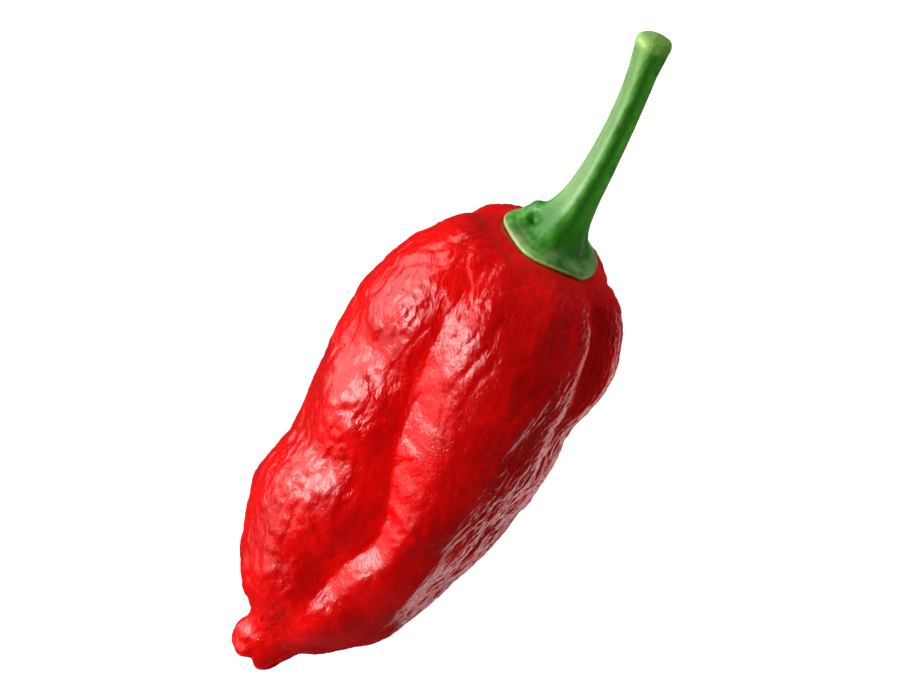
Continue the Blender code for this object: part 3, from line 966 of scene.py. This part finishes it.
def stalk_material():
    """Satin green, coloured by the height above the crown, and painted paler on the side towards the key
    light.
    """
    material, tree, shader = new_material("green_stalk_skin")
    place = tree.node("ShaderNodeTexCoord", {}, out=3)
    height, rib = surface_mark(tree, "height"), surface_mark(tree, "rib")
    blotch = tree.noise(place, STALK_BLOTCHES, detail=4.0)
    fleck = tree.noise(place * FLECK_SQUEEZE, STALK_FLECKS, detail=3.0, roughness=0.7)
    lit_side = (surface_mark(tree, "lit_side") + LIT_SIDE_EDGE_SHIFT * (blotch - 0.5)).smoothly(*LIT_SIDE_EDGE)
    colour = tree.mix((0.5 + 0.5 * rib) * blotch.smoothly(*RIB_EDGE), STALK_DARK, STALK_GREEN)
    # Painted light: the side towards the key light is painted a paler green
    pale = lit_side * height.smoothly(*STEM_FROM) * (LIT_SIDE_PALE + LIT_SIDE_PALE_IN_FLECKS * fleck)
    colour = tree.mix(pale, colour, STALK_PALE)
    # More pale flecks are painted on the lit side, as painted light
    pale = fleck.smoothly(*FLECK_EDGE) * (FLECKS + FLECKS_ON_LIT_SIDE * lit_side)
    colour = tree.mix(pale, colour, STALK_PALE)
    # Painted shade: the bell over the calyx is painted darker
    bell_shade = height.smoothly(*BELL_FROM) * (1.0 - height.smoothly(*BELL_TO))
    colour = tree.mix(bell_shade * BELL_SHADE_SHARE, colour, STALK_DARK)
    mottles = (1.0 - height.smoothly(*MOTTLES_TO)) * blotch.smoothly(*MOTTLE_EDGE) * MOTTLE_SHARE
    colour = tree.mix(mottles, colour, STALK_PALE)
    line = height.smoothly(*RIM_LINE_FROM) * (1.0 - height.smoothly(*RIM_LINE_TO))
    colour = tree.mix(line * (RIM_LINE + RIM_LINE_IN_BLOTCHES * blotch), colour, RIM_PALE)
    # The cut end is paler in its flecks, and painted paler on its lit side as painted light
    cut_lit_and_flecked = (CUT_ON_LIT_SIDE * lit_side + CUT_IN_FLECKS * fleck.smoothly(*CUT_FLECK_EDGE)).at_most(1.0)
    colour = tree.mix(height.smoothly(*CUT_FROM), colour, tree.mix(cut_lit_and_flecked, END_GREEN, END_PALE))
    tree.feed(shader, {
        "Base Color": colour,
        "Roughness": STALK_ROUGHNESS + STALK_ROUGHNESS_SPREAD * blotch,
        "Normal": tree.node("ShaderNodeBump", {}, {"Strength": 0.3, "Distance": 0.0001, "Height": fleck}),
        "IOR": 1.42,
        "Subsurface Weight": 0.15,
        "Subsurface Radius": (0.3, 0.6, 0.15),
        "Subsurface Scale": 0.0008,
    })
    return material


# %% [markdown]
# ## Dress the part
# Each tree now runs on its skin, and each skin takes the place of its solid: the solid is hidden,
# and the skin is hung under the root body in its place.

# %% Wrinkle both skins and swap them for the solids
apply_tree(pod, wrinkle_tree(pod_material()), POD_RELIEF)
apply_tree(stalk, fibre_tree(stalk_material()), STALK_RELIEF)

for piece, node, slot in ((pod, "pod", "pod_skin"), (stalk, "stalk", "stalk_skin")):
    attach(piece, "root")
    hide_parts(node)
    print(f"{piece.name} replaces {node}")

# %% [markdown]
# ## Camera
# The pepper is seen from above and a little from its stem end, with the stem to the upper right. A
# long lens from far off keeps its proportions. The camera could be aimed with a Track To
# constraint, but its turn about its own axis matters here, so it is set by its three axes: it looks
# down its own -Z, and its X and Y are the picture's right and up.

# %% Place the camera
# The picture is 900 pixels wide and 700 high
PICTURE_WIDTH = 900
PIXELS_PER_MM = 8.0
LENS, SENSOR = 300.0, 36.0
ELEVATION = math.radians(68.0)
# How the pod's axis lies in the picture: so far to the right and so far up
AXIS_RIGHT, AXIS_UP = 0.6, 0.8
# The point of the pod that is in the middle of the picture, in mm
LOOK_AT = Vector((9.16, 3.13, 14.0))


def place_camera():
    """Puts the camera so far off that the pepper gets its size in the picture."""
    back = Vector((math.cos(ELEVATION), 0.0, math.sin(ELEVATION)))
    along = Vector((math.sin(ELEVATION), 0.0, -math.cos(ELEVATION)))
    left = Vector((0.0, 1.0, 0.0))
    up = AXIS_UP * along + AXIS_RIGHT * left
    right = AXIS_RIGHT * along - AXIS_UP * left
    lens = bpy.data.cameras.new("camera")
    lens.lens, lens.sensor_width = LENS, SENSOR
    camera = bpy.data.objects.new("camera", lens)
    bpy.context.scene.collection.objects.link(camera)
    away = LENS / SENSOR * PICTURE_WIDTH / PIXELS_PER_MM * MM
    turn = Matrix((right, up, back)).transposed().to_4x4()
    camera.matrix_world = Matrix.Translation(LOOK_AT * MM + back * away) @ turn
    bpy.context.scene.camera = camera
    print(f"camera {away:.2f} m away")


place_camera()

# %% [markdown]
# ## Floor
# The pepper lies on a pale sheet that glows a little, as a light table does. A plain white plane
# would need much more light to look as pale, and the pepper's colours would wash out. The sheet is
# kept out of the gloss of the skin, which would otherwise turn milky along its lower edges.

# %% Lay the floor
FLOOR_SIZE = 6.0
FLOOR_GREYS = (0.30, 0.30, 0.30, 1.0), (0.32, 0.32, 0.32, 1.0)
FLOOR_GRAIN, FLOOR_GLOW, WORLD_GLOW = 60.0, 0.96, 0.04
WHITE = (1.0, 1.0, 1.0, 1.0)


def lay_floor():
    """A square pale sheet at height 0."""
    work = bmesh.new()
    bmesh.ops.create_grid(work, x_segments=1, y_segments=1, size=FLOOR_SIZE / 2)
    mesh = bpy.data.meshes.new("floor")
    work.to_mesh(mesh)
    work.free()
    material, tree, shader = new_material("pale_floor")
    grain = tree.noise(tree.node("ShaderNodeTexCoord", {}, out=3), FLOOR_GRAIN)
    tree.feed(shader, {
        "Base Color": tree.mix(grain, *FLOOR_GREYS),
        "Roughness": 0.9,
        "Emission Color": WHITE,
        "Emission Strength": FLOOR_GLOW,
    })
    mesh.materials.append(material)
    floor = bpy.data.objects.new("floor", mesh)
    bpy.context.scene.collection.objects.link(floor)
    floor.visible_glossy = False
    floor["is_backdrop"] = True
    print(f"floor {FLOOR_SIZE:.0f} m wide")


lay_floor()

# %% [markdown]
# ## Light
# A shiny, uneven skin shows its light sources as much as its colour. A tall soft box stands to the
# left, with a small bright core above its middle, a low one beside it towards the stem and a dimmer
# one towards the tip. Three fills open the shadows and are kept out of the gloss. A narrow lit card
# lies on the table to the right, and the flank mirrors it as a pale band. A picture of a studio
# round the scene could light the pepper too, but then no light could be moved alone.

# %% Set the lights
# Name, azimuth and elevation in degrees, distance, width and height in metres, brightness, and whether the
# skin mirrors it
SOFT_BOXES = (
    ("key", 95.0, 20.0, 0.50, 0.38, 0.86, 3.4, True),
    ("key_low", 64.0, 7.0, 0.50, 0.24, 0.14, 6.0, True),
    ("key_core", 102.0, 45.0, 0.48, 0.18, 0.38, 12.0, True),
    ("key_side", 127.0, 26.0, 0.52, 0.36, 0.76, 1.4, True),
    ("stem_fill", 0.0, 22.0, 0.60, 0.70, 0.45, 0.8, False),
    ("tip_fill", -150.0, 5.0, 0.60, 0.90, 0.40, 1.5, False),
    ("right_fill", -60.0, 8.0, 0.60, 0.60, 0.40, 0.4, False),
)
# The lit table to the right of the pepper: middle, length and width in metres, and brightness
TABLE_CARD = ((0.002, -0.032, 0.0006), 0.080, 0.014, 1.5)


def area_light(name, width, height, radiance, in_gloss=True):
    """A rectangular light that is equally bright whatever its size, and that the camera doesn't see."""
    light = bpy.data.lights.new(name, "AREA")
    light.shape = "RECTANGLE"
    light.size, light.size_y = width, height
    light.energy = radiance * math.pi * width * height
    lamp = bpy.data.objects.new(name, light)
    bpy.context.scene.collection.objects.link(lamp)
    lamp.visible_camera = False
    lamp.visible_glossy = in_gloss
    return lamp


def soft_box(name, azimuth, elevation, distance, *light):
    """An area light turned to the pepper. Its azimuth turns from the stem to the pod's left."""
    azimuth, elevation = math.radians(azimuth), math.radians(elevation)
    level = math.cos(elevation)
    direction = Vector((level * math.cos(azimuth), level * math.sin(azimuth), math.sin(elevation)))
    box = area_light(name, *light)
    box.location = Vector((0.0, 0.0, AXIS_HEIGHT * MM)) + direction * distance
    box.rotation_euler = (-direction).to_track_quat("-Z", "Y").to_euler()


def light_the_pepper():
    """The soft boxes, the card on the table, which shines upwards, and a faint glow all round."""
    for box in SOFT_BOXES:
        soft_box(*box)
    place, length, width, radiance = TABLE_CARD
    card = area_light("table_card", length, width, radiance)
    card.location = place
    card.rotation_euler = (math.pi, 0.0, 0.0)
    world = bpy.data.worlds.new("studio")
    world.use_nodes = True
    background = world.node_tree.nodes["Background"]
    Tree(world.node_tree).feed(background, {"Color": WHITE, "Strength": WORLD_GLOW})
    bpy.context.scene.world = world
    print(f"{len(SOFT_BOXES)} soft boxes and a lit card")


light_the_pepper()
bpy.context.scene.view_settings.view_transform = "Standard"

# %% [markdown]
# ## The sizes at the end
# The dressed pepper has to be as large as its solids, so both sizes are printed.

# %% Print both sizes and finish
SIZES = {"cad": CAD_BOX, "visual": [list(corner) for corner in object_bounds()]}
for name, (low, high) in SIZES.items():
    print(name, " x ".join(f"{(b - a) / MM:.1f}" for a, b in zip(low, high)), "mm")
